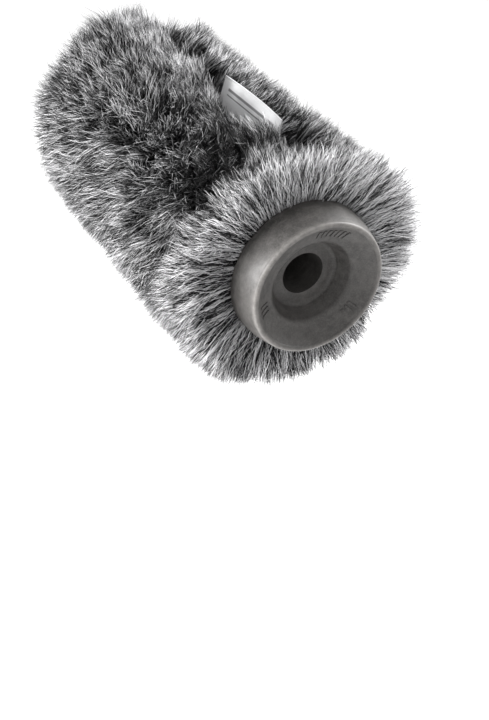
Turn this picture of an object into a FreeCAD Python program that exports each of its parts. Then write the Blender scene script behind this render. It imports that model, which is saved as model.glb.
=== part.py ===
import FreeCAD, Part

import math
import os

# Slip-on furry windscreen for a shotgun microphone.
# Millimetres. +Z is up, +Y is the way the microphone leaves the bore, and the nose points
# to -Y. The origin is the centre of the microphone bore's mouth, on the floor of the
# recess in the rubber base.

# Driving dimensions
BORE_R = 10.5            # grips microphones of 19 to 22 mm
BORE_DEPTH = 180.0       # mouth to blind end, the size by which such windscreens are sold
FOAM_R = 28.0
FOAM_NOSE_Y = -214.0
COVER_GAP = 0.9          # free space between the foam and the cover's backing
BACKING_T = 1.2
PILE_R = 60.5            # tips of the fur, from the middle of its outline
PILE_NOSE_Y = -244.5
RIM_R = 32.2             # rounded rear rim of the rubber base
RIM_Y = 15.4
LIP_R = 36.0             # front lip of the base, over the cover's hem
LIP_Y = -3.0
LABEL_LENGTH = 60.0
LABEL_TOP_Z = 54.5
DISH_IN_R = 22.3         # the dished rear face, an arc in section
DISH_OUT_R = 30.4
DISH_CENTRE_R = 13.0
DISH_CENTRE_Y = 34.5
DISH_ARC = 26.55
RELIEF = 0.4             # height of the grip bars moulded on the dished face
RELIEF_ROOT = 1.5        # how deep the bars reach into the moulding
RELIEF_IN_R = 24.2
RELIEF_OUT_R = 28.4
RELIEF_BAR = 2.4         # degrees round the face that one bar takes
RELIEF_PITCH = 5.4
RELIEF_GROUPS = {0.0: 7, 118.0: 3, -118.0: 3}   # degrees from the top: number of bars

# Rubber base
NECK_T = 2.0
NECK_FRONT_Y = -6.0
WEB_T = 4.0              # rubber between the recess and the foam
SLEEVE_R = 14.0          # outside of the collar that grips the microphone
SLEEVE_Y = -34.0
RECESS_FLOOR_R = 17.0
RECESS_MOUTH_R = 20.5
RECESS_MOUTH_Y = 9.0
POCKET_R = 33.4
POCKET_FLOOR_Y = 6.0
CAVITY_R = 21.0          # the foam's step into the base
CAVITY_TOP_R = 24.0
CAVITY_TOP_Y = 4.0

# Foam and cover
FOAM_CORNER = 22.0
BACKING_IN_R = FOAM_R + COVER_GAP
BACKING_OUT_R = BACKING_IN_R + BACKING_T
BACKING_REAR_Y = 4.5
PILE_CORNER = 45.0
PILE_HANG = 2.8          # the outline's middle lies below the bore's axis, as the fur hangs
PILE_REAR_Y = LIP_Y - 0.6
PILE_CROWN_R = 49.5      # the rear fibres stand back beside the lip out to this radius
PILE_CROWN_Y = 1.5
VALLEY_HALF_WIDTH = 6.0  # the pile parts by this much each side of the top seam
HEM_R = 32.6
HEM_FRONT_Y = -2.4
ELASTIC_T = 1.2
ELASTIC_W = 3.0
ELASTIC_Y = 0.5

# Label and stitches
LABEL_T = 0.9
LABEL_MID_Y = -79.0
THREAD = 0.3
SEAM_PITCH = 5.0
SEAM_HALF_ANGLE = 3.0
HEM_STITCHES = 60


def spot(r, y):
    """A profile point: r from the bore's axis, y along it."""
    return FreeCAD.Vector(0, y, r)


def profile(start, *steps):
    """A closed face from straight steps (r, y) and arcs ((r, y) on the way, (r, y) end)."""
    edges = []
    here = spot(*start)
    for step in steps + (start,):
        if isinstance(step[0], tuple):
            middle, end = spot(*step[0]), spot(*step[1])
            edges.append(Part.Arc(here, middle, end).toShape())
        else:
            end = spot(*step)
            edges.append(Part.LineSegment(here, end).toShape())
        here = end
    return Part.Face(Part.Wire(edges))


def turned(face, degrees=360.0):
    """Turns a profile about the bore's axis, from the top round past +X."""
    return face.revolve(FreeCAD.Vector(0, 0, 0), FreeCAD.Vector(0, 1, 0), degrees)


def corner(centre_r, centre_y, radius):
    """The two points of a quarter arc from the side of a nose to its flat tip."""
    half = radius * math.sqrt(0.5)
    return ((centre_r + half, centre_y - half), (centre_r, centre_y - radius))


def mirrored(shape):
    return shape.mirror(FreeCAD.Vector(0, 0, 0), FreeCAD.Vector(1, 0, 0))


def box(low, high):
    size = [b - a for a, b in zip(low, high)]
    return Part.makeBox(*size, FreeCAD.Vector(*low))


def on_dish(r, raised=0.0):
    """A profile point of the dished rear face at radius r, raised off it by that much."""
    arc = DISH_ARC - raised
    return (r, DISH_CENTRE_Y - math.sqrt(arc ** 2 - (r - DISH_CENTRE_R) ** 2))


def grip_bars():
    """Short radial bars in groups round the dished face."""
    middle_r = (RELIEF_IN_R + RELIEF_OUT_R) / 2
    bar = turned(profile(
        on_dish(RELIEF_IN_R, -RELIEF_ROOT),
        on_dish(RELIEF_OUT_R, -RELIEF_ROOT),
        on_dish(RELIEF_OUT_R, RELIEF),
        (on_dish(middle_r, RELIEF), on_dish(RELIEF_IN_R, RELIEF)),
    ), RELIEF_BAR)
    bars = []
    for middle, count in RELIEF_GROUPS.items():
        for i in range(count):
            one = bar.copy()
            turn = middle + (i - (count - 1) / 2) * RELIEF_PITCH - RELIEF_BAR / 2
            one.rotate(FreeCAD.Vector(0, 0, 0), FreeCAD.Vector(0, 1, 0), turn)
            bars.append(one)
    return bars


def rubber_base():
    """One moulding: rounded rim, dished rear face, recess, lip, neck and inner collar."""
    neck_in = FOAM_R - NECK_T
    moulding = turned(profile(
        (BORE_R, 0.0),
        (RECESS_FLOOR_R - 2.0, 0.0),
        ((RECESS_FLOOR_R - 0.3, 0.6), (RECESS_FLOOR_R + 0.5, 2.0)),
        (RECESS_MOUTH_R - 0.6, RECESS_MOUTH_Y - 1.8),
        ((RECESS_MOUTH_R + 0.2, RECESS_MOUTH_Y - 0.3), on_dish(DISH_IN_R)),
        (on_dish((DISH_IN_R + DISH_OUT_R) / 2), on_dish(DISH_OUT_R)),
        ((RIM_R, RIM_Y), (33.4, 13.6)),
        ((35.3, 6.0), (LIP_R, LIP_Y + 2.2)),
        ((35.6, LIP_Y + 0.5), (LIP_R - 1.4, LIP_Y)),
        (POCKET_R, LIP_Y),
        (POCKET_R, POCKET_FLOOR_Y),
        (FOAM_R, POCKET_FLOOR_Y),
        (FOAM_R, NECK_FRONT_Y),
        (neck_in, NECK_FRONT_Y),
        (neck_in, CAVITY_TOP_Y),
        (CAVITY_TOP_R, CAVITY_TOP_Y),
        (CAVITY_R, -WEB_T),
        (SLEEVE_R, -WEB_T),
        (SLEEVE_R, SLEEVE_Y),
        (BORE_R, SLEEVE_Y),
    ))
    return moulding.fuse(grip_bars())


def foam_core():
    """Open-cell foam with a blind bore, bonded into the base's neck and round its collar."""
    neck_in = FOAM_R - NECK_T
    return turned(profile(
        (0.0, -BORE_DEPTH),
        (BORE_R, -BORE_DEPTH),
        (BORE_R, SLEEVE_Y),
        (SLEEVE_R, SLEEVE_Y),
        (SLEEVE_R, -WEB_T),
        (CAVITY_R, -WEB_T),
        (CAVITY_TOP_R, CAVITY_TOP_Y),
        (neck_in, CAVITY_TOP_Y),
        (neck_in, NECK_FRONT_Y),
        (FOAM_R, NECK_FRONT_Y),
        (FOAM_R, FOAM_NOSE_Y + FOAM_CORNER),
        corner(FOAM_R - FOAM_CORNER, FOAM_NOSE_Y + FOAM_CORNER, FOAM_CORNER),
        (0.0, FOAM_NOSE_Y),
    ))


def backing_half():
    """Half of the knitted backing: a tube with a closed round nose, cut at the seam plane."""
    centre_r = FOAM_R - FOAM_CORNER
    centre_y = FOAM_NOSE_Y + FOAM_CORNER
    inner = FOAM_CORNER + COVER_GAP
    outer = inner + BACKING_T
    inner_mid, inner_end = corner(centre_r, centre_y, inner)
    return turned(profile(
        (BACKING_IN_R, BACKING_REAR_Y),
        (BACKING_OUT_R, BACKING_REAR_Y),
        (BACKING_OUT_R, centre_y),
        corner(centre_r, centre_y, outer),
        (0.0, centre_y - outer),
        (0.0, centre_y - inner),
        inner_end,
        (inner_mid, (BACKING_IN_R, centre_y)),
    ), 180.0)


def pile_space():
    """All the space that the fur fills round the backing, hanging a little below the bore's axis."""
    tip_y = PILE_NOSE_Y + PILE_CORNER
    outside = turned(profile(
        (0.0, PILE_REAR_Y),
        (LIP_R + 4.0, PILE_REAR_Y),
        (PILE_CROWN_R, PILE_CROWN_Y),
        ((PILE_R - 3.6, -1.6), (PILE_R, -9.0)),
        (PILE_R, tip_y),
        corner(PILE_R - PILE_CORNER, tip_y, PILE_CORNER),
        (0.0, PILE_NOSE_Y),
    ))
    outside.translate(FreeCAD.Vector(0, 0, -PILE_HANG))
    back_y = FOAM_NOSE_Y + FOAM_CORNER
    back_corner = FOAM_CORNER + COVER_GAP + BACKING_T
    backing = turned(profile(
        (0.0, 20.0),
        (BACKING_OUT_R, 20.0),
        (BACKING_OUT_R, back_y),
        corner(FOAM_R - FOAM_CORNER, back_y, back_corner),
        (0.0, back_y - back_corner),
    ))
    lip = turned(profile(
        (0.0, 20.0),
        (LIP_R + 0.8, 20.0),
        (LIP_R + 0.8, PILE_REAR_Y),
        (0.0, PILE_REAR_Y),
    ))
    return outside.cut(lip).cut(backing)


def pile_half():
    """The fur on the seams' +X side, parted in a valley along the top seam."""
    far = 200.0
    other_side = Part.makeBox(far, 2 * far, 2 * far, FreeCAD.Vector(-far, -1.5 * far, -far))
    foot = BACKING_OUT_R - 0.2
    top = PILE_R + 4.0
    points = [
        FreeCAD.Vector(-0.5, 20.0, foot),
        FreeCAD.Vector(LABEL_T, 20.0, foot),
        FreeCAD.Vector(VALLEY_HALF_WIDTH, 20.0, top),
        FreeCAD.Vector(-0.5, 20.0, top),
    ]
    wedge = Part.Face(Part.makePolygon(points + points[:1]))
    valley = wedge.extrude(FreeCAD.Vector(0, PILE_NOSE_Y - 30.0, 0))
    return pile_space().cut(other_side).cut(valley)


def hem_band():
    """Binding tape round the cover's mouth, with a channel for the elastic."""
    channel_r = BACKING_OUT_R + ELASTIC_T
    return turned(profile(
        (BACKING_OUT_R, HEM_FRONT_Y),
        (HEM_R - 0.6, HEM_FRONT_Y),
        ((HEM_R - 0.2, HEM_FRONT_Y + 0.2), (HEM_R, HEM_FRONT_Y + 0.6)),
        (HEM_R, BACKING_REAR_Y - 0.6),
        ((HEM_R - 0.2, BACKING_REAR_Y - 0.2), (HEM_R - 0.6, BACKING_REAR_Y)),
        (BACKING_OUT_R, BACKING_REAR_Y),
        (BACKING_OUT_R, ELASTIC_Y + ELASTIC_W),
        (channel_r, ELASTIC_Y + ELASTIC_W),
        (channel_r, ELASTIC_Y),
        (BACKING_OUT_R, ELASTIC_Y),
    ))


def hem_elastic():
    """Flat elastic that holds the hem in the pocket behind the lip."""
    channel_r = BACKING_OUT_R + ELASTIC_T
    return turned(profile(
        (BACKING_OUT_R, ELASTIC_Y),
        (channel_r, ELASTIC_Y),
        (channel_r, ELASTIC_Y + ELASTIC_W),
        (BACKING_OUT_R, ELASTIC_Y + ELASTIC_W),
    ))


def hem_stitches():
    """A ring of short stitches on the outside of the binding."""
    length = 360.0 / HEM_STITCHES * 0.6
    stitch = turned(profile(
        (HEM_R, -1.2),
        (HEM_R + THREAD * 0.8, -1.2),
        (HEM_R + THREAD * 0.8, -0.7),
        (HEM_R, -0.7),
    ), length)
    ring = []
    for i in range(HEM_STITCHES):
        one = stitch.copy()
        one.rotate(FreeCAD.Vector(0, 0, 0), FreeCAD.Vector(0, 1, 0), i * 360.0 / HEM_STITCHES)
        ring.append(one)
    return Part.makeCompound(ring)


def seam_stitches():
    """Thread across the seam that joins the two halves: top, nose and underside, inside."""
    inside = BACKING_IN_R
    straight_end = FOAM_NOSE_Y + FOAM_CORNER
    stitches = []
    rows = int((NECK_FRONT_Y - straight_end) / SEAM_PITCH)
    for i in range(rows):
        y = NECK_FRONT_Y - i * SEAM_PITCH
        bar = turned(profile(
            (inside - THREAD, y),
            (inside, y),
            (inside, y - 0.8),
            (inside - THREAD, y - 0.8),
        ), 2 * SEAM_HALF_ANGLE)
        for turn in (-SEAM_HALF_ANGLE, 180.0 - SEAM_HALF_ANGLE):
            one = bar.copy()
            one.rotate(FreeCAD.Vector(0, 0, 0), FreeCAD.Vector(0, 1, 0), turn)
            stitches.append(one)
    radius = FOAM_CORNER + COVER_GAP - 0.12
    centre_r = FOAM_R - FOAM_CORNER
    steps = int(math.radians(90.0) * radius / SEAM_PITCH)
    for i in range(1, steps):
        angle = 90.0 * i / steps
        bar = box((-1.2, -0.4, radius - THREAD), (1.2, 0.4, radius))
        bar.rotate(FreeCAD.Vector(0, 0, 0), FreeCAD.Vector(1, 0, 0), angle)
        bar.translate(FreeCAD.Vector(0, straight_end, centre_r))
        under = bar.mirror(FreeCAD.Vector(0, 0, 0), FreeCAD.Vector(0, 0, 1))
        stitches += [bar, under]
    return Part.makeCompound(stitches)


def label():
    """Blank woven label, folded over at its top edge and sewn into the top seam."""
    half = LABEL_T / 2
    foot = BACKING_OUT_R
    round_z = LABEL_TOP_Z - half
    near = LABEL_MID_Y + LABEL_LENGTH / 2
    left, right = FreeCAD.Vector(-half, near, foot), FreeCAD.Vector(half, near, foot)
    high_right = FreeCAD.Vector(half, near, round_z)
    high_left = FreeCAD.Vector(-half, near, round_z)
    top = FreeCAD.Vector(0, near, LABEL_TOP_Z)
    edges = [
        Part.LineSegment(left, right).toShape(),
        Part.LineSegment(right, high_right).toShape(),
        Part.Arc(high_right, top, high_left).toShape(),
        Part.LineSegment(high_left, left).toShape(),
    ]
    return Part.Face(Part.Wire(edges)).extrude(FreeCAD.Vector(0, -LABEL_LENGTH, 0))


def label_stitches():
    """Two rows of thread along the label's foot, one on each face."""
    half = LABEL_T / 2
    count = int(LABEL_LENGTH / SEAM_PITCH)
    first = LABEL_MID_Y - LABEL_LENGTH / 2 + SEAM_PITCH / 2
    stitches = []
    for i in range(count):
        y = first + i * SEAM_PITCH
        for low_x in (-half - THREAD, half):
            stitches.append(box(
                (low_x, y - 1.5, BACKING_OUT_R + 1.2),
                (low_x + THREAD, y + 1.5, BACKING_OUT_R + 1.5),
            ))
    return Part.makeCompound(stitches)


backing_right = backing_half()
pile_right = pile_half()

nodes = {
    "rubber_base": rubber_base(),
    "foam_core": foam_core(),
    "backing_right": backing_right,
    "backing_left": mirrored(backing_right),
    "pile_right": pile_right,
    "pile_left": mirrored(pile_right),
    "hem_band": hem_band(),
    "hem_elastic": hem_elastic(),
    "hem_stitches": hem_stitches(),
    "seam_stitches": seam_stitches(),
    "label": label(),
    "label_stitches": label_stitches(),
}

os.makedirs("parts", exist_ok=True)
for name, shape in nodes.items():
    bounds = shape.BoundBox
    print(name, shape.isValid(), len(shape.Solids), round(shape.Volume),
          [round(v, 2) for v in (bounds.XMin, bounds.XMax, bounds.YMin, bounds.YMax,
                                 bounds.ZMin, bounds.ZMax)])
    shape.exportStep("parts/" + name + ".step")
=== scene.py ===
import math

import bpy
import numpy as np
from mathutils import Matrix, Vector
from mathutils.kdtree import KDTree


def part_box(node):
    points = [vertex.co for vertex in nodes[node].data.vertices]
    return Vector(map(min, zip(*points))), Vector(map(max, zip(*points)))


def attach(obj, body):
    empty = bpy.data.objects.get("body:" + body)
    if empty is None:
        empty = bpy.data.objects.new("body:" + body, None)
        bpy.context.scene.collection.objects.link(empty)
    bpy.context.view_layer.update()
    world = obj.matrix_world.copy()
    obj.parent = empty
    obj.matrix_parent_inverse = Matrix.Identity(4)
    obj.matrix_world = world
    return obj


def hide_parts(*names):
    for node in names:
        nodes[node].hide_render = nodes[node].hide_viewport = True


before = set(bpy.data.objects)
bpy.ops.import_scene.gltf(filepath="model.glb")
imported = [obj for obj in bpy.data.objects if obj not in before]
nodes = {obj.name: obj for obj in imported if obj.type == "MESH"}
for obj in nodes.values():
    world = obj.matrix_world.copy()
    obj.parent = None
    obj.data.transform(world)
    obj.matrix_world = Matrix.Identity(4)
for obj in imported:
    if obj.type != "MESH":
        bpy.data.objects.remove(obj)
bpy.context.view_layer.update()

# Sizes read from the frame, in metres
back_low, back_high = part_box("backing_right")
pile_low, pile_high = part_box("pile_right")
foam_low, foam_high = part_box("foam_core")
label_low, label_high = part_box("label")
hem_low, hem_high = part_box("hem_band")
base_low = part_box("rubber_base")[0]

BACK_R = back_high.x                       # the fur's roots stand on this radius
BACK_T = 0.0012                            # the knitted wall
BACK_NOSE_Y = back_low.y
FOAM_R = foam_high.x
FOAM_NOSE_Y = foam_low.y
FOAM_REAR_Y = base_low.y + 0.028           # where the foam meets the base's neck
NOSE_FLAT_R = 0.006                        # the flat middle of the foam's and backing's noses
BACK_CORNER = BACK_R - NOSE_FLAT_R
BACK_CORNER_Y = BACK_NOSE_Y + BACK_CORNER
PILE_LENGTH = 0.028                        # the fibres at the top, where the pile is shortest
PILE_R = pile_high.x                       # the pile's usual outline, and how far below the
PILE_HANG = PILE_R - pile_high.z           # bore's axis the middle of that outline lies
PILE_NOSE_Y = pile_low.y
STRAY_REACH = 0.009                        # how far past that outline stray tips may stand
NOSE_REACH = 0.006                         # and how far past its nose
LIP_FRONT_Y = hem_low.y - 0.0006           # front edge of the rubber lip
ROOTS_REAR_Y = LIP_FRONT_Y - 0.0008
LABEL_MID_Y = (label_low.y + label_high.y) / 2
LABEL_HALF = (label_high.y - label_low.y) / 2
BORE_R = 0.0105                            # the microphone's bore and its blind end
BORE_END_Y = -0.180
COLLAR_R = 0.0143                          # the wider rear of the foam's bore, which clears the
COLLAR_FRONT_Y = -0.0345                   # rubber collar
COLLAR_REAR_Y = -0.0062
TINY_R = 0.0002                            # the smallest ring, at the middle of a nose or end

rng = np.random.default_rng(11)


# ---------------------------------------------------------------- camera, lights, floor

CAMERA_AIM = Vector((0.0257, 0.0114, -0.0389))
CAMERA_AZIMUTH = 143.2
CAMERA_ELEVATION = 29.2
CAMERA_ROLL = 17.2
CAMERA_DISTANCE = 0.4556
LENS_MM = 50.0
SENSOR_MM = 36.0
WORLD_STRENGTH = 1.06


def camera_axes():
    """Right, up and back of the camera, rolled."""
    a, e = math.radians(CAMERA_AZIMUTH), math.radians(CAMERA_ELEVATION)
    back = Vector((math.sin(a) * math.cos(e), -math.cos(a) * math.cos(e), math.sin(e)))
    right = Vector((math.cos(a), math.sin(a), 0.0))
    up = back.cross(right)
    roll = math.radians(CAMERA_ROLL)
    rolled_right = right * math.cos(roll) + up * math.sin(roll)
    rolled_up = up * math.cos(roll) - right * math.sin(roll)
    return rolled_right, rolled_up, back


def facing(right, up, back, place):
    """The matrix of a camera or lamp at that place, with those axes."""
    m = Matrix((right, up, back)).transposed().to_4x4()
    m.translation = place
    return m


def make_camera():
    """Above and behind the base, on its right, looking along the cover towards its nose."""
    right, up, back = camera_axes()
    data = bpy.data.cameras.new("camera")
    data.lens = LENS_MM
    data.sensor_width = SENSOR_MM
    data.clip_start = 0.01
    cam = bpy.data.objects.new("camera", data)
    bpy.context.scene.collection.objects.link(cam)
    cam.matrix_world = facing(right, up, back, CAMERA_AIM + back * CAMERA_DISTANCE)
    bpy.context.scene.camera = cam


def area_light(name, place, target, size, watts):
    """A round softbox that faces the target."""
    data = bpy.data.lights.new(name, "AREA")
    data.shape = "DISK"
    data.size = size
    data.energy = watts
    lamp = bpy.data.objects.new(name, data)
    bpy.context.scene.collection.objects.link(lamp)
    back = (place - target).normalized()
    right = Vector((0, 0, 1)).cross(back).normalized()
    lamp.matrix_world = facing(right, back.cross(right), back, place)


def make_lights():
    """A large softbox on the left, another at the upper right, and a bright white room."""
    right, up, back = camera_axes()
    middle = Vector((0, -0.1, 0))
    left_place = middle - right * 0.9 - up * 0.08 + back * 0.48
    right_place = middle + right * 0.95 + up * 0.62 - back * 0.06
    area_light("left", left_place, middle, size=0.5, watts=33.0)
    area_light("right", right_place, middle, size=0.45, watts=31.0)
    world = bpy.data.worlds.new("studio")
    world.use_nodes = True
    background = world.node_tree.nodes["Background"]
    background.inputs["Color"].default_value = (1.0, 1.0, 1.0, 1)
    background.inputs["Strength"].default_value = WORLD_STRENGTH
    bpy.context.scene.world = world
    bpy.context.scene.view_settings.view_transform = "Standard"


def make_floor():
    """A plain pale floor well below the part, which a microphone would hold up."""
    mesh = bpy.data.meshes.new("floor")
    half, z = 6.0, -0.55
    corners = [(-half, -half, z), (half, -half, z), (half, half, z), (-half, half, z)]
    mesh.from_pydata(corners, [], [(0, 1, 2, 3)])
    floor = bpy.data.objects.new("floor", mesh)
    bpy.context.scene.collection.objects.link(floor)
    n = Nodes("floor_paper")
    paper = n.mix(n.noise(40.0, 2), (0.95, 0.95, 0.95), (0.97, 0.97, 0.97))
    n.principled(paper, roughness=0.9, specular=0.1)
    mesh.materials.append(n.material)


# ---------------------------------------------------------------- materials

class Nodes:
    """A small helper that builds one node material."""

    def __init__(self, name):
        self.material = bpy.data.materials.new(name)
        self.material.use_nodes = True
        self.tree = self.material.node_tree
        self.tree.nodes.clear()
        self.coords = self.add("ShaderNodeTexCoord")

    def add(self, kind, **values):
        node = self.tree.nodes.new(kind)
        for key, value in values.items():
            setattr(node, key, value)
        return node

    def link(self, source, target):
        self.tree.links.new(source, target)

    def put(self, source, target):
        """A socket is linked, and a plain value is set."""
        if isinstance(source, bpy.types.NodeSocket):
            self.link(source, target)
        elif isinstance(source, tuple) and len(source) == 3 and target.type == "RGBA":
            target.default_value = (*source, 1)
        else:
            target.default_value = source

    def scaled(self, scale):
        """The object's coordinates, stretched by a factor on each axis."""
        mapping = self.add("ShaderNodeMapping")
        self.link(self.coords.outputs["Object"], mapping.inputs["Vector"])
        mapping.inputs["Scale"].default_value = scale
        return mapping.outputs[0]

    def noise(self, scale, detail=3.0, rough=0.5, vector=None):
        node = self.add("ShaderNodeTexNoise")
        self.link(vector or self.coords.outputs["Object"], node.inputs["Vector"])
        node.inputs["Scale"].default_value = scale
        node.inputs["Detail"].default_value = detail
        node.inputs["Roughness"].default_value = rough
        return node.outputs["Fac"]

    def voronoi(self, scale, feature="F1"):
        node = self.add("ShaderNodeTexVoronoi", feature=feature)
        self.link(self.coords.outputs["Object"], node.inputs["Vector"])
        node.inputs["Scale"].default_value = scale
        return node.outputs["Distance"]

    def math(self, operation, a, b=0.0):
        node = self.add("ShaderNodeMath", operation=operation)
        self.put(a, node.inputs[0])
        self.put(b, node.inputs[1])
        return node.outputs[0]

    def span(self, source, low, high, to_low=0.0, to_high=1.0):
        """Maps one range to another, and holds the ends. low may be above high."""
        node = self.add("ShaderNodeMapRange")
        self.put(source, node.inputs["Value"])
        for key, value in (("From Min", low), ("From Max", high),
                           ("To Min", to_low), ("To Max", to_high)):
            node.inputs[key].default_value = value
        return node.outputs["Result"]

    def mix(self, factor, a, b, blend="MIX"):
        node = self.add("ShaderNodeMix", data_type="RGBA", blend_type=blend)
        self.put(factor, node.inputs["Factor"])
        self.put(a, node.inputs[6])
        self.put(b, node.inputs[7])
        return node.outputs[2]

    def bump(self, height, strength, distance, normal=None):
        node = self.add("ShaderNodeBump")
        node.inputs["Strength"].default_value = strength
        node.inputs["Distance"].default_value = distance
        self.link(height, node.inputs["Height"])
        if normal is not None:
            self.link(normal, node.inputs["Normal"])
        return node.outputs["Normal"]

    def principled(self, colour, roughness, specular, normal=None, **sockets):
        """The surface and the output. A socket's name has _ for its spaces."""
        shader = self.add("ShaderNodeBsdfPrincipled")
        self.put(colour, shader.inputs["Base Color"])
        self.put(roughness, shader.inputs["Roughness"])
        shader.inputs["Specular IOR Level"].default_value = specular
        for key, value in sockets.items():
            shader.inputs[key.replace("_", " ")].default_value = value
        if normal is not None:
            self.link(normal, shader.inputs["Normal"])
        out = self.add("ShaderNodeOutputMaterial")
        self.link(shader.outputs[0], out.inputs["Surface"])


RIM_RISES = (0.0306, 0.0320)                       # radii between which the pale rim, part rubbing and part painted highlight, fades in
RIM_FALLS = (0.0342, 0.0330)                       # and out
RIM_BACK = (0.0120, 0.0148)                        # only the base's rearmost y gets the pale rim


def rubber_material():
    """Matte moulded rubber: warm dark grey, fine grain, handling marks, a pale rim that is part
    rubbing and part painted highlight.
    """
    n = Nodes("moulded_rubber")
    split = n.add("ShaderNodeSeparateXYZ")
    n.link(n.coords.outputs["Object"], split.inputs[0])
    radius = n.math("SQRT", n.math("ADD", n.math("POWER", split.outputs["X"], 2.0),
                                   n.math("POWER", split.outputs["Z"], 2.0)))
    rim = n.math("MULTIPLY", n.span(radius, *RIM_RISES), n.span(radius, *RIM_FALLS))
    rim = n.math("MULTIPLY", rim, n.span(split.outputs["Y"], *RIM_BACK))
    patches = n.span(n.noise(60.0, 4.0, 0.6), 0.3, 0.7)
    fine = n.noise(1500.0, 3.0, 0.65)
    blotch = n.noise(300.0, 4.0, 0.7)
    colour = n.mix(patches, (0.019, 0.0178, 0.0168), (0.042, 0.0394, 0.0373))
    colour = n.mix(n.span(blotch, 0.38, 0.70, 0.0, 0.65), colour, (0.066, 0.062, 0.059))
    colour = n.mix(n.span(fine, 0.45, 0.70, 0.0, 0.35), colour, (0.10, 0.095, 0.09))
    scuffs = n.noise(95.0, 5.0, 0.75, n.scaled((1.0, 3.0, 1.0)))
    colour = n.mix(n.span(scuffs, 0.52, 0.68, 0.0, 0.55), colour, (0.085, 0.080, 0.076))
    # painted highlight: the rounded rim is paled, partly real rubbing and partly standing in for
    # the light along its edge
    rubbed_and_highlight = n.math("MULTIPLY", rim, n.span(blotch, 0.3, 0.65, 0.35, 1.0))
    colour = n.mix(rubbed_and_highlight, colour, (0.150, 0.142, 0.135))
    rough = n.span(n.noise(140.0, 3.0), 0.3, 0.7, 0.46, 0.64)
    grain = n.bump(fine, 0.22, 0.00012)
    normal = n.bump(blotch, 0.35, 0.0003, grain)
    n.principled(colour, rough, 0.34, normal)
    return n.material


def foam_material():
    """Open-cell foam: dark cells with paler strands between them."""
    n = Nodes("open_cell_foam")
    cells = n.voronoi(560.0, "DISTANCE_TO_EDGE")
    strands = n.span(cells, 0.03, 0.20, 1.0, 0.0)
    tone = n.noise(70.0, 3.0)
    colour = n.mix(strands, (0.004, 0.004, 0.0043), (0.10, 0.10, 0.105))
    colour = n.mix(n.span(tone, 0.35, 0.65, 0.0, 0.25), colour, (0.04, 0.04, 0.042))
    normal = n.bump(strands, 1.0, 0.0010)
    n.principled(colour, 0.95, 0.15, normal)
    return n.material


def knit_material():
    """Fine warp knit, the cloth that the fur stands on."""
    n = Nodes("knit_backing")
    wave = n.add("ShaderNodeTexWave", wave_type="BANDS", bands_direction="Y")
    n.link(n.coords.outputs["Object"], wave.inputs["Vector"])
    wave.inputs["Scale"].default_value = 260.0
    wave.inputs["Distortion"].default_value = 3.0
    wave.inputs["Detail Scale"].default_value = 3.0
    rows = wave.outputs["Fac"]
    loops = n.voronoi(950.0)
    height = n.math("ADD", rows, n.math("MULTIPLY", loops, 0.7))
    colour = n.mix(n.span(height, 0.2, 1.3), (0.014, 0.014, 0.015), (0.06, 0.06, 0.063))
    n.principled(colour, 0.92, 0.2, n.bump(height, 0.7, 0.0004), Sheen_Weight=0.3)
    return n.material


def weave_material(name, dark, light, threads):
    """Plain woven tape with its threads at that many a metre."""
    n = Nodes(name)
    split = n.add("ShaderNodeSeparateXYZ")
    n.link(n.coords.outputs["Object"], split.inputs[0])
    angle = n.math("ARCTAN2", split.outputs["X"], split.outputs["Z"])
    round_way = n.math("MULTIPLY", angle, hem_high.x * threads)
    along = n.math("MULTIPLY", split.outputs["Y"], threads)
    a = n.math("SINE", n.math("MULTIPLY", round_way, math.tau))
    b = n.math("SINE", n.math("MULTIPLY", along, math.tau))
    height = n.math("MULTIPLY", a, b)
    fuzz = n.noise(900.0, 2.0)
    colour = n.mix(n.span(height, -1.0, 1.0), dark, light)
    colour = n.mix(n.span(fuzz, 0.4, 0.7, 0.0, 0.4), colour, light)
    n.principled(colour, 0.85, 0.25, n.bump(height, 0.6, 0.0003), Sheen_Weight=0.2)
    return n.material


def thread_material():
    """Dark twisted polyester thread."""
    n = Nodes("sewing_thread")
    twist = n.noise(1800.0, 2.0, 0.5, n.scaled((1.0, 2.5, 1.0)))
    colour = n.mix(n.span(twist, 0.35, 0.65), (0.03, 0.03, 0.032), (0.12, 0.12, 0.125))
    n.principled(colour, 0.6, 0.4, n.bump(twist, 0.5, 0.0002))
    return n.material


STRIPES = ((0.0067, 0.0051), (0.0090, 0.0082))     # each stripe's two edges below the label's top
STRIPE_END = 0.0058                                # the stripes stop this far from its ends


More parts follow.
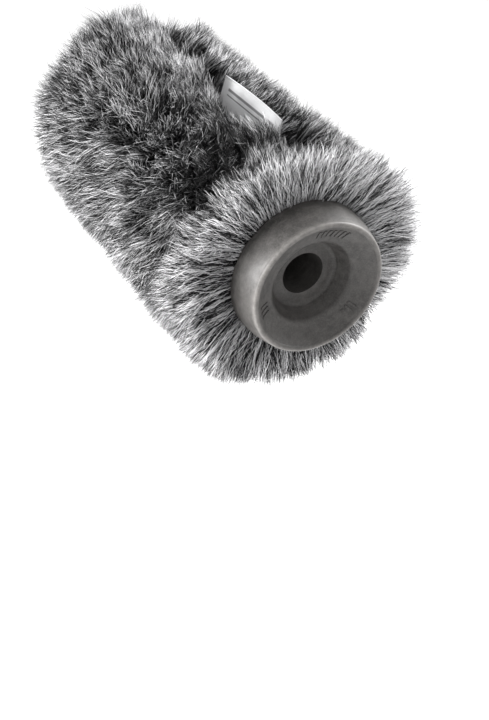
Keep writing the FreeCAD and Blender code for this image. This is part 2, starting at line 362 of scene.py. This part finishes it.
def label_material():
    """Satin ribbon: fine weft lines, two plain woven stripes, painted shade along its upper edge,
    and darker towards its foot.
    """
    n = Nodes("satin_label")
    split = n.add("ShaderNodeSeparateXYZ")
    n.link(n.coords.outputs["Object"], split.inputs[0])
    along, rise = split.outputs["Y"], split.outputs["Z"]
    weft = n.math("SINE", n.math("MULTIPLY", rise, math.tau * 2600.0))
    warp = n.math("SINE", n.math("MULTIPLY", along, math.tau * 1500.0))
    height = n.math("ADD", weft, n.math("MULTIPLY", warp, 0.4))
    # darker towards the foot, in mottled patches
    foot = n.span(rise, label_low.z, label_high.z - 0.006, 0.45, 0.0)
    darker_foot = n.math("MULTIPLY", foot, n.span(n.noise(120.0, 3.0), 0.3, 0.7, 0.4, 1.0))
    cloth = n.mix(n.span(height, -1.4, 1.4), (0.78, 0.78, 0.79), (0.86, 0.86, 0.87))
    # painted shade: the upper edge is darkened, most towards the rear, where the lamps light it
    # most
    painted_shade_top = n.math("MULTIPLY", n.span(rise, label_high.z - 0.011, label_high.z - 0.002),
                     n.span(along, label_low.y, label_high.y, 0.55, 1.0))
    cloth = n.mix(painted_shade_top, cloth, (0.30, 0.30, 0.305))
    stripes = [n.math("MULTIPLY",
                      n.span(rise, label_high.z - below, label_high.z - below + 0.0002),
                      n.span(rise, label_high.z - above, label_high.z - above - 0.0002))
               for below, above in STRIPES]
    inside = n.math("MULTIPLY",
                    n.span(along, label_low.y + STRIPE_END, label_low.y + STRIPE_END + 0.0003),
                    n.span(along, label_high.y - STRIPE_END, label_high.y - STRIPE_END - 0.0003))
    striped = n.math("MULTIPLY", n.math("ADD", *stripes), inside)
    cloth = n.mix(striped, cloth, (0.17, 0.17, 0.175))
    colour = n.mix(darker_foot, cloth, (0.24, 0.24, 0.255))
    n.principled(colour, 0.5, 0.3, n.bump(height, 0.25, 0.00008), Sheen_Weight=0.1)
    return n.material


# stops from a fibre's shade to its grey
FUR_GREYS = ((0.0, 0.004), (0.3, 0.012), (0.5, 0.05), (0.7, 0.20), (0.85, 0.48), (0.94, 0.72),
             (1.0, 0.92))


def fur_material():
    """Two-tone acrylic pile, with painted shade darkening each fibre towards its root. The map's U
    is each fibre's own shade, and V runs root to tip.
    """
    n = Nodes("acrylic_pile")
    uv = n.add("ShaderNodeUVMap", uv_map=FUR_UV)
    split = n.add("ShaderNodeSeparateXYZ")
    n.link(uv.outputs[0], split.inputs[0])
    shade, along = split.outputs["X"], split.outputs["Y"]
    ramp = n.add("ShaderNodeValToRGB")
    while len(ramp.color_ramp.elements) < len(FUR_GREYS):
        ramp.color_ramp.elements.new(0.5)
    for element, (place, grey) in zip(ramp.color_ramp.elements, FUR_GREYS):
        element.position = place
        element.color = (grey, grey * 0.995, grey * 1.01, 1)
    n.link(shade, ramp.inputs["Fac"])
    # painted shade: the lower part of each fibre is darkened, standing in for the shadow deep in
    # the pile
    root = n.span(along, 0.42, 0.98, 0.02, 1.0)
    colour = n.mix(1.0, ramp.outputs["Color"], n.mix(root, (0, 0, 0), (1, 1, 1)), "MULTIPLY")
    n.principled(colour, 0.6, 0.12)
    return n.material


# ---------------------------------------------------------------- meshes

def add_object(name, mesh, material):
    """A smooth-shaded object in the scene."""
    piece = bpy.data.objects.new(name, mesh)
    bpy.context.scene.collection.objects.link(piece)
    mesh.materials.append(material)
    mesh.polygons.foreach_set("use_smooth", np.full(len(mesh.polygons), True))
    return piece


def grid_mesh(name, points, close_u=False, close_v=False):
    """A mesh over a (rows, columns, 3) grid of points."""
    rows, columns = points.shape[:2]
    index = np.arange(rows * columns).reshape(rows, columns)
    if close_u:
        index = np.vstack([index, index[:1]])
    if close_v:
        index = np.hstack([index, index[:, :1]])
    quads = np.stack([index[:-1, :-1], index[:-1, 1:], index[1:, 1:], index[1:, :-1]], -1)
    mesh = bpy.data.meshes.new(name)
    fill_mesh(mesh, points.reshape(-1, 3), quads.reshape(-1, 4))
    return mesh


def fill_mesh(mesh, points, quads, triangles=None):
    """Writes vertices and faces straight from arrays."""
    triangles = np.zeros((0, 3), int) if triangles is None else triangles
    corners = np.concatenate([quads.ravel(), triangles.ravel()]).astype(np.int32)
    sizes = np.concatenate([np.full(len(quads), 4), np.full(len(triangles), 3)])
    mesh.vertices.add(len(points))
    mesh.vertices.foreach_set("co", np.ascontiguousarray(points, np.float32).ravel())
    mesh.loops.add(len(corners))
    mesh.loops.foreach_set("vertex_index", corners)
    mesh.polygons.add(len(sizes))
    starts = np.concatenate([[0], np.cumsum(sizes)[:-1]]).astype(np.int32)
    mesh.polygons.foreach_set("loop_start", starts)
    mesh.update(calc_edges=True)


def nose_profile(radius, nose_y, rear_y, straight_steps, corner_steps):
    """(r, y) points of a tube with a round-cornered nose, from its mouth to its tip."""
    corner = radius - NOSE_FLAT_R
    bend_y = nose_y + corner
    line = [(radius, y) for y in np.linspace(rear_y, bend_y, straight_steps)]
    arc = [(NOSE_FLAT_R + corner * math.cos(t), bend_y - corner * math.sin(t))
           for t in np.linspace(0, math.pi / 2, corner_steps)[1:]]
    tip = [(r, nose_y) for r in np.linspace(NOSE_FLAT_R, TINY_R, 4)[1:]]
    return np.array(line + arc + tip)


def turned_grid(outline, start, end, steps):
    """Turns (r, y) points about the bore's axis between two angles from the top."""
    angle = np.linspace(start, end, steps)[:, None]
    r, y = outline[None, :, 0], outline[None, :, 1]
    return np.stack([r * np.sin(angle), y + 0 * angle, r * np.cos(angle)], -1)


def make_backing(side, name, node):
    """The knitted wall of one half of the cover, from its mouth to the middle of its nose."""
    middle_r = BACK_R - BACK_T / 2
    outline = nose_profile(middle_r, BACK_NOSE_Y + BACK_T / 2, back_high.y,
                           straight_steps=90, corner_steps=24)
    mesh = grid_mesh(name, turned_grid(outline, 0.0, side * math.pi, 64))
    piece = add_object(name, mesh, knit_material())
    thicken(piece, BACK_T * 0.9)
    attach(piece, "cover")
    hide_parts(node)


def thicken(piece, thickness):
    """Gives a sheet its thickness, half to each side, as a closed mesh."""
    thick = piece.modifiers.new("thickness", "SOLIDIFY")
    thick.thickness = thickness
    thick.offset = 0.0
    graph = bpy.context.evaluated_depsgraph_get()
    mesh = bpy.data.meshes.new_from_object(piece.evaluated_get(graph))
    piece.modifiers.clear()
    piece.data = mesh


# ---------------------------------------------------------------- fur

FUR_UV = "OFBake"
FULL_COUNT = 200000
FUR_COUNT = FULL_COUNT
WIDTH_SCALE = math.sqrt(FULL_COUNT / FUR_COUNT)        # a thinner pile has thicker fibres
FIBRE_WIDTHS = (0.00028, 0.00041)
FAN_WIDTH = 0.80                                   # the fan's fibres, as a share of those widths
PIECE_TRIANGLES = 190000                           # the most that a piece of fur has
SIDES = 3
SHADES = 32                                        # steps in the map of shades
GOLDEN = (math.sqrt(5) - 1) / 2                    # the turn between roots, as a share of a circle
SAME_SHADE = 0.75                                  # the share of fibres with their lock's shade
BODY_RINGS = np.array([0.0, 0.52, 0.80, 1.0])      # where rings stand along a fibre, then its tip
FAN_RINGS = np.array([0.0, 0.17, 0.34, 0.51, 0.68, 0.84, 1.0])
BODY_SWAY = 0.0010                                 # how far a fibre's waves swing
FAN_SWAY = 0.0021
# fibres in a lock, the least and most that it is drawn together, how uneven the locks' lengths are
BODY_LOCKS = ((4, 0.07, 0.7, 0.02), (16, 0.1, 0.5, 0.05), (80, 0.0, 0.4, 0.0))
FAN_LOCKS = ((3, 0.1, 0.8, 0.05), (14, 0.0, 0.35, 0.03))

FAN_DEPTH = 0.0065                                 # roots this near the hem make the rear fan
SEAM_GAP = 0.0011                                  # half the bare strip along the top seam
HANG = np.array([0.76, 0.0, -0.65])                # the way the pile hangs furthest out
TUFT = np.array([0.007, -0.209, 0.021])            # a taller tuft beside the parting at the nose
TUFT_R = 0.0065

# Where the pile changes along the cover, as the y where a change starts and where it is complete
REAR_SPAN = (-0.026, ROOTS_REAR_Y)                 # it leans out to the rear
HEM_SPAN = (-0.013, ROOTS_REAR_Y)                  # it takes on the fan's length and its shade, paled with painted light
BEHIND_FAN_Y, BEHIND_FAN_WIDTH = -0.019, 0.006     # it dips just ahead of the fan
NOSE_SPAN = (-0.165, -0.205)                       # it has wisps
SEAM_ENDS = (-0.202, -0.2145)                      # the nose's pile hides the seam
NOTCH_SPAN = (-0.150, -0.195)                      # the parting opens to a notch
HANG_SPAN = (-0.216, -0.185)                       # it hangs, but not at the nose's tip
# and the two spans of what comes and goes again
MIDDLE_BAND = ((-0.205, -0.150), (-0.060, -0.020))
CREST_BAND = ((-0.095, -0.125), (-0.205, -0.230))  # a crest stands beside the parting, with painted light paling its fibres
PAINTED_SHADE_BAND = ((-0.088, -0.060), (-0.036, -0.026))     # it is darkened with painted shade, ahead of the fan
NAP_BAND = ((-0.215, -0.050), (-0.034, -0.014))    # it lies over towards the rear


def waves(points, scale, count, seed):
    """A smooth random field of three components, about -1 to 1, from summed sines."""
    wave_rng = np.random.default_rng(seed)
    total = np.zeros((len(points), 3))
    for _ in range(count):
        way = wave_rng.normal(size=3)
        way *= math.tau / scale / np.linalg.norm(way) * wave_rng.uniform(0.7, 1.4)
        phase = points @ way
        shift = wave_rng.uniform(0, math.tau, 3)
        total += np.sin(phase[:, None] + shift)
    return total / math.sqrt(count)


def root_surface(count):
    """Roots spread evenly over the backing, with a denser row at the hem: place and normal."""
    straight = ROOTS_REAR_Y - BACK_CORNER_Y
    bend = BACK_CORNER * math.pi / 2
    length = straight + bend + NOSE_FLAT_R
    s = np.linspace(0, length, 2000)
    r = profile_at(s, straight, bend)[0]
    dense = 1 + 2.4 * np.exp(-s / 0.004)               # 3.4 times as many roots at the hem itself
    share = np.concatenate([[0], np.cumsum((r * dense)[1:] * np.diff(s))])
    draw = (np.arange(count) + rng.uniform(0, 1, count)) / count
    r, y, nr, ny = profile_at(np.interp(draw * share[-1], share, s), straight, bend)
    golden = (np.arange(count) * GOLDEN) % 1.0
    angle = math.tau * (golden + rng.normal(0, 0.15 / math.sqrt(count), count)) - math.pi
    place = np.stack([r * np.sin(angle), y, r * np.cos(angle)], 1)
    normal = np.stack([nr * np.sin(angle), ny, nr * np.cos(angle)], 1)
    return place, normal


def profile_at(s, straight, bend):
    """Radius, y and the normal's two parts at a distance s from the mouth."""
    turn = np.clip((s - straight) / BACK_CORNER, 0, math.pi / 2)
    flat = np.clip(s - straight - bend, 0, NOSE_FLAT_R)
    r = NOSE_FLAT_R + BACK_CORNER * np.cos(turn) - flat
    y = ROOTS_REAR_Y - np.clip(s, 0, straight) - BACK_CORNER * np.sin(turn)
    return np.maximum(r, TINY_R), y, np.cos(turn), -np.sin(turn)


def smooth(x, start, full):
    """0 up to start, 1 from full on, and an even change between them. start may be above full."""
    t = np.clip((x - start) / (full - start), 0, 1)
    return t * t * (3 - 2 * t)


def band(x, rise, fall):
    """Up over the first span and down again over the second."""
    return smooth(x, *rise) * (1 - smooth(x, *fall))


def bell(x, middle, width):
    """1 at the middle, and fading to 0 on both sides."""
    return np.exp(-((x - middle) / width) ** 2)


def unit(v):
    return v / np.maximum(np.linalg.norm(v, axis=1, keepdims=True), 1e-9)


def owners(place, per_lock):
    """The nearest of a random choice of guide fibres, for every fibre."""
    guides = rng.choice(len(place), len(place) // per_lock, replace=False)
    tree = KDTree(len(guides))
    for i, g in enumerate(guides):
        tree.insert(place[g], i)
    tree.balance()
    return guides[np.array([tree.find(p)[1] for p in place])]


class Zones:
    """How far each feature of the cover acts on each fibre, from 0 to 1.

    from_seam is a distance instead, and it is large wherever there is no top seam.
    """

    def __init__(self, place, side, seamed):
        x, y, z = place.T
        self.right, self.left = side > 0, side < 0
        self.top = smooth(z, -0.004, 0.010) * seamed
        self.from_seam = np.abs(x) + 0.04 * (1 - self.top)
        self.rear = smooth(y, *REAR_SPAN)
        self.hem = smooth(y, *HEM_SPAN)
        self.behind_fan = bell(y, BEHIND_FAN_Y, BEHIND_FAN_WIDTH)
        self.nose = smooth(y, *NOSE_SPAN)
        self.notch = smooth(y, *NOTCH_SPAN)
        self.middle = band(y, *MIDDLE_BAND)
        self.near_label = smooth(np.abs(y - LABEL_MID_Y), LABEL_HALF + 0.008, LABEL_HALF - 0.006)
        self.close = bell(self.from_seam, 0, 0.009) * (1 - self.rear)
        self.along_crest = band(y, *CREST_BAND)
        # painted light: where the crest's fibres are paled
        self.lit_crest = self.right * bell(self.from_seam, 0.007, 0.006) * self.along_crest
        self.far = self.left * bell(self.from_seam, 0, 0.012) * self.along_crest


def strand_field():
    """Every fibre's root, direction, length, bend, shade, side, and where its shading starts."""
    place, normal = root_surface(FUR_COUNT)
    side = np.where(place[:, 0] >= 0, 1.0, -1.0)
    seamed = 1 - smooth(place[:, 1], *SEAM_ENDS)
    place[:, 0] = side * np.hypot(place[:, 0], SEAM_GAP * seamed)
    zones = Zones(place, side, seamed)
    direction = fibre_directions(place, normal, side, zones)
    length = fibre_lengths(place, normal, zones)
    bend = fibre_bends(place, direction, length, side, zones)
    shade = fibre_shades(place, zones)
    start = 0.01 + 0.72 * zones.hem + 0.16 * zones.far     # the fan, and the far side of the parting, start higher on the painted root shade, so their roots are darkened less
    return place, direction, length, bend, shade, side, start


def fibre_directions(place, normal, side, zones):
    """The pile parts along the top seam, is pressed off the label, and leans out at the hem."""
    part = (0.28 - 0.28 * zones.along_crest * zones.right) * bell(zones.from_seam, 0, 0.0075)
    part += 0.11 * zones.notch * zones.left * bell(zones.from_seam, 0, 0.013)
    part += 0.42 * zones.near_label * bell(zones.from_seam, 0, 0.012)
    lean = np.zeros_like(place)
    lean[:, 0] = side * (part * (1 - 0.95 * zones.rear))
    lean[:, 1] = 0.20 * zones.rear ** 2 + 0.12 * zones.middle + nap(place)
    lean[:, 1] -= 0.10 * zones.behind_fan
    stray = waves(place, 0.034, 9, 11) * 0.13 + waves(place, 0.011, 9, 12) * 0.18
    stray += rng.normal(0, 0.055, (FUR_COUNT, 3))
    turn_outward(stray, side, zones)
    return unit(normal + lean + stray * (1 - 0.5 * zones.rear)[:, None])


def nap(place):
    """How far the pile lies over towards the rear: most on the right, just ahead of the fan."""
    x, y, z = place.T
    from_top = np.degrees(np.arctan2(np.abs(x), z))
    round_way = smooth(from_top, 8, 36) * (1 - 0.7 * smooth(from_top, 90, 135))
    return np.where(x < 0, 0.15, 1.1) * round_way * band(y, *NAP_BAND)


def turn_outward(sideways, side, zones):
    """Close to the top seam, what would lean across it turns the other way."""
    across = sideways[:, 0]
    across += (np.abs(across) * side - across) * zones.close


def fibre_lengths(place, normal, zones):
    """Longer where the pile hangs, at the hem and in the tuft, with wisps and short underfur."""
    usual = PILE_LENGTH * rng.uniform(0.95, 1.08, FUR_COUNT)
    length = usual * (1 + 0.01 * zones.nose + 0.04 * zones.middle)
    hanging = smooth(normal @ HANG, 0.0, 0.95) * smooth(place[:, 1], *HANG_SPAN)
    length *= (1 + 0.36 * hanging * (1 - zones.hem) + 0.17 * zones.hem
               - 0.07 * zones.behind_fan)
    length *= 1 + 0.28 * bell(np.linalg.norm(place - TUFT, axis=1), 0, TUFT_R)
    wisp = rng.uniform(0, 1, FUR_COUNT) < 0.05 * zones.nose
    length[wisp] *= rng.uniform(1.08, 1.25, wisp.sum())
    length *= 1 + 0.04 * waves(place, 0.018, 7, 13)[:, 0]
    off_left = smooth(place[:, 0], -0.002, -0.014) * zones.top
    length *= 1 + (0.11 + 0.10 * zones.notch) * off_left
    under = rng.uniform(0, 1, FUR_COUNT) < 0.20
    length[under] *= rng.uniform(0.5, 0.85, under.sum())
    length *= 1 - 0.14 * zones.near_label * bell(zones.from_seam, 0.003, 0.010)
    return length


def fibre_bends(place, direction, length, side, zones):
    """How far, and which way, each tip bends away from its fibre's own direction."""
    bend = waves(place, 0.008, 9, 14) * 0.17 + rng.normal(0, 0.17, (FUR_COUNT, 3))
    turn_outward(bend, side, zones)
    bend *= ((1 - 0.6 * zones.rear) * length)[:, None]
    return bend - direction * np.sum(bend * direction, 1)[:, None]


def fibre_shades(place, zones):
    """Dark and pale fibres mixed, in patches, with painted light on the crest and on the fan,
    strongest at the fan's top, and painted shade ahead of the fan.
    """
    x, y, z = place.T
    patch = waves(place, 0.009, 8, 15)[:, 0] * 0.08 + 0.005
    # painted shade: the pile is darkened ahead of the fan
    painted_shade_patch = band(y, *PAINTED_SHADE_BAND) * smooth(x, 0.002, 0.014)
    patch -= 0.22 * painted_shade_patch * smooth(z, 0.0, 0.016)
    pick = rng.uniform(0, 1, FUR_COUNT)
    # painted light: the fan's fibres are paler towards its top, where the lamps light it
    painted_light_above = 0.03 + 0.18 * np.cos(np.arctan2(x, z) + 0.6)
    fan = np.interp(pick + painted_light_above, [0.0, 0.38, 0.515, 1.0], [0.15, 0.48, 0.95, 1.0])
    # the crest's fibres are paled with painted light
    shade = np.interp(pick + patch + 0.26 * zones.lit_crest + 0.12 * zones.far,
                      [0.0, 0.53, 0.68, 0.86, 1.0], [0.10, 0.30, 0.6, 0.88, 0.95])
    # painted light: the fan's fibres take the paler tones
    return shade + (fan - shade) * zones.hem


def centre_lines(place, direction, length, bend, ring_at, sway_by, locks):
    """Fibre centre lines, (count, rings + 1, 3): bent, a little wavy, drawn into small locks."""
    count = len(place)
    t = ring_at[None, :, None]
    line = place[:, None] + direction[:, None] * length[:, None, None] * t
    line = line + bend[:, None] * t ** 3.2
    sway = unit(np.cross(direction, rng.normal(size=(count, 3))))
    turns = rng.uniform(0.9, 1.7, count)[:, None, None]
    phase = rng.uniform(0, math.tau, count)[:, None, None]
    swing = np.sin(math.tau * turns * t + phase) * np.minimum(3 * t, 1)
    line = line + sway[:, None] * sway_by * swing
    for owner, low, high, uneven in locks:
        stretch = rng.normal(1.0, uneven, count)[owner][:, None, None]
        line = place[:, None] + (line - place[:, None]) * stretch
        pull = rng.uniform(low, high, count)[owner][:, None, None] * t ** 1.7
        guide = line[owner] + (place - place[owner])[:, None] * 0.3
        line = line * (1 - pull) + guide * pull
    return held_in(line)


def held_in(line):
    """Draws stray tips back, so that the pile's outline stays near its usual size."""
    flat = line * [1.0, 0.0, 1.0] + [0.0, 0.0, PILE_HANG]
    reach = np.linalg.norm(flat, axis=-1)
    nose = np.maximum(PILE_NOSE_Y - line[..., 1], 0.0)
    inner = PILE_R + 0.001
    over = np.maximum(reach - inner, 0.0)
    pulled = inner + STRAY_REACH * np.tanh(over / STRAY_REACH)
    scale = np.where(reach > inner, pulled / np.maximum(reach, 1e-9), 1.0)
    line = flat * scale[..., None] - [0.0, 0.0, PILE_HANG] + line * [0.0, 1.0, 0.0]
    line[..., 1] += nose - NOSE_REACH * np.tanh(nose / NOSE_REACH)
    return line


def strand_mesh(name, line, width, shade, start, ring_at):
    """Closed three-sided fibres that taper to a point. line is (n, rings + 1, 3).

    The map puts each fibre in a narrow strip of its own shade, and runs up it from start.
    """
    n, rings = len(line), len(ring_at) - 1
    along = unit(line[:, -1] - line[:, 0])
    across = unit(np.cross(along, rng.normal(size=(n, 3))))
    other = np.cross(along, across)
    taper = np.interp(ring_at[:-1], [0.0, 0.4, 0.7, 1.0], [0.7, 1.0, 0.9, 0.35])
    turn = np.arange(SIDES) * math.tau / SIDES
    offset = (across[:, None] * np.cos(turn)[None, :, None]
              + other[:, None] * np.sin(turn)[None, :, None])
    shell = (line[:, :rings, None] + offset[:, None]
             * (width[:, None] * taper[None])[:, :, None, None] / 2)
    points = np.concatenate([shell.reshape(n, -1, 3), line[:, -1:]], 1)
    per_fibre = rings * SIDES + 1

    ring = np.arange((rings - 1) * SIDES).reshape(rings - 1, SIDES)
    beside = np.roll(ring, -1, 1)
    quads = np.stack([ring, beside, beside + SIDES, ring + SIDES], -1).reshape(-1, 4)
    last = (rings - 1) * SIDES + np.arange(SIDES)
    ends = np.stack([last, np.roll(last, -1), np.full(SIDES, per_fibre - 1)], -1)
    ends = np.concatenate([ends, [[2, 1, 0]]])
    first = np.arange(n)[:, None, None] * per_fibre
    mesh = bpy.data.meshes.new(name)
    fill_mesh(mesh, points.reshape(-1, 3), (quads + first).reshape(-1, 4),
              (ends + first).reshape(-1, 3))

    strip = np.floor(shade * (SHADES - 1e-6)) / SHADES
    within = np.concatenate([np.tile([0.15, 0.5, 0.85], rings), [0.5]]) / SHADES
    up = np.concatenate([np.repeat(ring_at[:-1], SIDES), [1.0]])
    parts = []
    for corner in (quads.ravel(), ends.ravel()):
        u = strip[:, None] + within[corner][None]
        v = start[:, None] + (0.99 - start[:, None]) * up[corner][None]
        parts.append(np.stack([u, v], -1).reshape(-1, 2))
    layer = mesh.uv_layers.new(name=FUR_UV)
    layer.data.foreach_set("uv", np.concatenate(parts).astype(np.float32).ravel())
    return mesh


def make_fur():
    """The fan at the hem and the body's pile, in pieces of a size that other tools can take."""
    place, direction, length, bend, shade, side, start = strand_field()
    width = rng.uniform(*FIBRE_WIDTHS, FUR_COUNT) * WIDTH_SCALE
    material = fur_material()
    fan = place[:, 1] > ROOTS_REAR_Y - FAN_DEPTH
    width[fan] *= FAN_WIDTH
    kinds = (("fan", fan, FAN_RINGS, FAN_SWAY, FAN_LOCKS),
             ("pile", ~fan, BODY_RINGS, BODY_SWAY, BODY_LOCKS))
    for kind, chosen, ring_at, sway_by, locks in kinds:
        per_piece = PIECE_TRIANGLES // ((len(ring_at) - 2) * 2 * SIDES + SIDES + 1)
        mine = np.flatnonzero(chosen)
        locks = [(owners(place[mine], size), *pull) for size, *pull in locks]
        line = centre_lines(place[mine], direction[mine], length[mine], bend[mine], ring_at,
                            sway_by, locks)
        alike = rng.uniform(0, 1, len(mine)) < SAME_SHADE
        shade[mine] = np.where(alike, shade[mine][locks[0][0]], shade[mine])
        for which, node in ((1, "pile_right"), (-1, "pile_left")):
            half = np.flatnonzero(side[mine] == which)
            half = half[np.argsort(place[mine[half], 1])]
            for i, part in enumerate(np.array_split(half, math.ceil(len(half) / per_piece))):
                name = f"{node}_{kind}_{i + 1}"
                own = mine[part]
                mesh = strand_mesh(name, line[part], width[own], shade[own], start[own], ring_at)
                piece = add_object(name, mesh, material)
                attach(piece, "cover")
                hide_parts(node)


# ---------------------------------------------------------------- label, foam and hem

HEM_GATHERS = 60                                   # one for each stitch


def make_label():
    """A blank satin ribbon folded over at the top, bowed a little, with its foot in the seam."""
    top = label_high.z - 0.0004
    foot = label_low.z - 0.0006
    half_gap = 0.00035
    t = np.linspace(0, 1, 22)
    rise = foot + (top - foot) * t
    side = np.stack([half_gap * np.sin(t * math.pi * 0.97 + 0.1) + 0.0001, rise], 1)
    fold = [(half_gap * math.cos(a) * 0.9, top + half_gap * math.sin(a))
            for a in np.linspace(0.2, math.pi - 0.2, 7)]
    outline = np.concatenate([side, fold, side[::-1] * [-1, 1]])
    height = (outline[:, 1] - foot) / (top - foot)

    ys = np.linspace(label_low.y, label_high.y, 60)
    u = ((ys - LABEL_MID_Y) / LABEL_HALF)[:, None]     # -1 at the front end, 1 at the rear
    bow = 0.0003 * (1 - u ** 2) * height ** 2
    flick = 0.0007 * np.maximum(u, 0) ** 3 * height
    droop = 0.0007 * u ** 2 * height
    grid = np.zeros((len(ys), len(outline), 3))
    grid[:, :, 0] = outline[:, 0] - bow + flick
    grid[:, :, 1] = ys[:, None]
    grid[:, :, 2] = outline[:, 1] - droop
    piece = add_object("label_ribbon", grid_mesh("label_ribbon", grid), label_material())
    thicken(piece, 0.00018)
    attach(piece, "cover")
    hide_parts("label")


def make_foam():
    """The foam core: its rounded outside with cell-sized pits, its bore and its rear steps."""
    steps = 200
    mid_bore_y = -0.10                                 # one more ring, so that faces aren't so long
    inside = np.array([(TINY_R, BORE_END_Y), (BORE_R, BORE_END_Y), (BORE_R, mid_bore_y),
                       (BORE_R, COLLAR_FRONT_Y), (COLLAR_R, COLLAR_FRONT_Y),
                       (COLLAR_R, COLLAR_REAR_Y)])
    outside = nose_profile(FOAM_R, FOAM_NOSE_Y, FOAM_REAR_Y, straight_steps=220, corner_steps=34)
    outline = np.concatenate([inside, outside])
    grid = turned_grid(outline, 0.0, math.tau * (1 - 1 / steps), steps)
    flat = grid.reshape(-1, 3)
    pits = np.minimum(waves(flat, 0.0035, 12, 31)[:, 0], 0.4) * 0.00012
    pits += waves(flat, 0.02, 7, 32)[:, 0] * 0.00010
    rear_rings = 4                                     # the foam is smooth where it meets the base
    pitted = np.tile(np.arange(len(outline)) >= len(inside) + rear_rings, steps)
    push = unit(flat * np.array([1.0, 0.0, 1.0]))
    flat = flat + push * (np.minimum(pits, 0.00008) * pitted)[:, None]
    mesh = grid_mesh("foam", flat.reshape(grid.shape), close_u=True)
    piece = add_object("foam_body", mesh, foam_material())
    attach(piece, "base")
    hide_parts("foam_core")


def hem_outline(bevel):
    """(r, y) round the tape's section: its bevelled outside, then the channel of the elastic."""
    elastic_low, elastic_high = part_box("hem_elastic")
    inner, outer = BACK_R, hem_high.x
    turn = np.linspace(0, math.pi / 2, 6)
    front = [(outer - bevel + bevel * math.sin(a), hem_low.y + bevel - bevel * math.cos(a))
             for a in turn]
    rear = [(outer - bevel + bevel * math.cos(a), hem_high.y - bevel + bevel * math.sin(a))
            for a in turn]
    side = [(outer, y) for y in np.linspace(front[-1][1], rear[0][1], 22)[1:-1]]
    channel = [(inner, elastic_high.y), (elastic_high.x, elastic_high.y),
               (elastic_high.x, elastic_low.y), (inner, elastic_low.y)]
    return np.array([(inner, hem_low.y), *front, *side, *rear, (inner, hem_high.y), *channel])


def make_hem():
    """Binding tape round the mouth, gathered a little between its stitches."""
    stitch_low, stitch_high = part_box("hem_stitches")
    bevel, steps = 0.0006, 720
    r, y = hem_outline(bevel).T
    grid = turned_grid(np.stack([r, y], 1), 0.0, math.tau * (1 - 1 / steps), steps)
    angle = np.linspace(0, math.tau, steps, endpoint=False)[:, None]
    gather = np.cos(HEM_GATHERS * angle + 1.5 * np.sin(5 * angle))
    on_outside = np.clip((r - hem_high.x + bevel) / bevel, 0, 1)
    off_stitches = 1 - bell(y, (stitch_low.y + stitch_high.y) / 2, 0.0008)
    rise = on_outside * off_stitches * (0.00014 + 0.00012 * gather)
    grid += rise[..., None] * unit(grid.reshape(-1, 3) * [1.0, 0.0, 1.0]).reshape(grid.shape)
    at_rear = np.clip((y - hem_high.y + bevel) / bevel, 0, 1)
    grid[..., 1] += at_rear * 0.00015 * np.cos(HEM_GATHERS * angle + 1.9)
    mesh = grid_mesh("binding_tape", grid, close_u=True, close_v=True)
    tape = weave_material("binding_tape", (0.012, 0.012, 0.013), (0.05, 0.05, 0.052), 900.0)
    piece = add_object("binding_tape", mesh, tape)
    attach(piece, "cover")
    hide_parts("hem_band")


def finish_cad_nodes():
    """Materials for the CAD nodes that stay as they are."""
    looks = {
        "rubber_base": rubber_material(),
        "hem_elastic": weave_material("elastic", (0.02, 0.02, 0.02), (0.08, 0.08, 0.08), 700.0),
    }
    thread = thread_material()
    for name in ("hem_stitches", "seam_stitches", "label_stitches"):
        looks[name] = thread
    for name, material in looks.items():
        node = nodes[name]
        if not node.material_slots:
            node.data.materials.append(material)
        for place in node.material_slots:
            place.link = "OBJECT"
            place.material = material


make_camera()
make_lights()
make_floor()
finish_cad_nodes()
make_backing(1, "backing_cloth_right", "backing_right")
make_backing(-1, "backing_cloth_left", "backing_left")
make_foam()
make_hem()
make_label()
make_fur()
